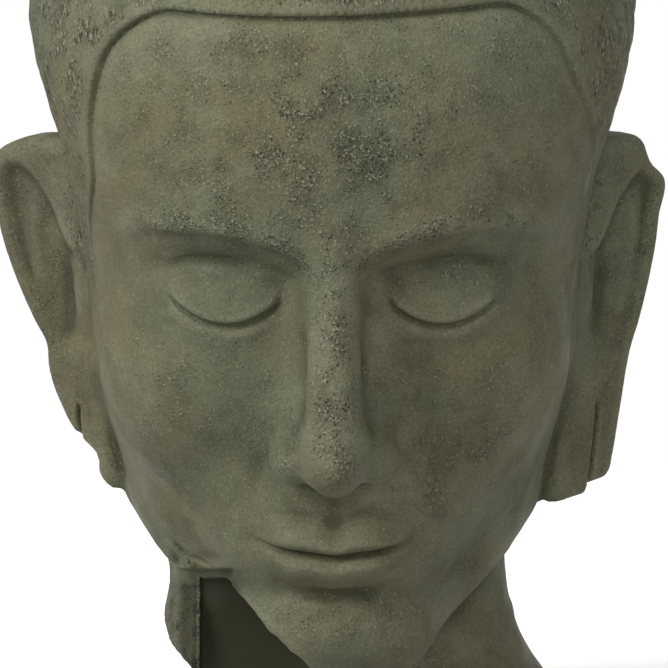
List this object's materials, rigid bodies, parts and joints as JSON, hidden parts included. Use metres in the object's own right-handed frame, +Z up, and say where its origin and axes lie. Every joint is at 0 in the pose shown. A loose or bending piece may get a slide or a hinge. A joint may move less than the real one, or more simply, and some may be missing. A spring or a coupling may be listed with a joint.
{
  "type": "carved stone bust",
  "caption": "Carved sandstone head and neck of a calm bodhisattva with lowered lids, long pierced ears, a hair cap and topknot, its neck broken at one side.",
  "frame": {"origin": "on the neck's flat underside, straight below the pivot of the head's bow", "axes": "+Z up, -Y the way the face looks, +X the viewer's right"},
  "size_m": [0.2584, 0.2597, 0.4047],
  "materials": {
    "sandstone": "carved grey-green sandstone, worn smooth in places and finely pitted, dull"
  },
  "bodies": {
    "root": {"sandstone_bust": "sandstone"}
  },
  "joints": []
}
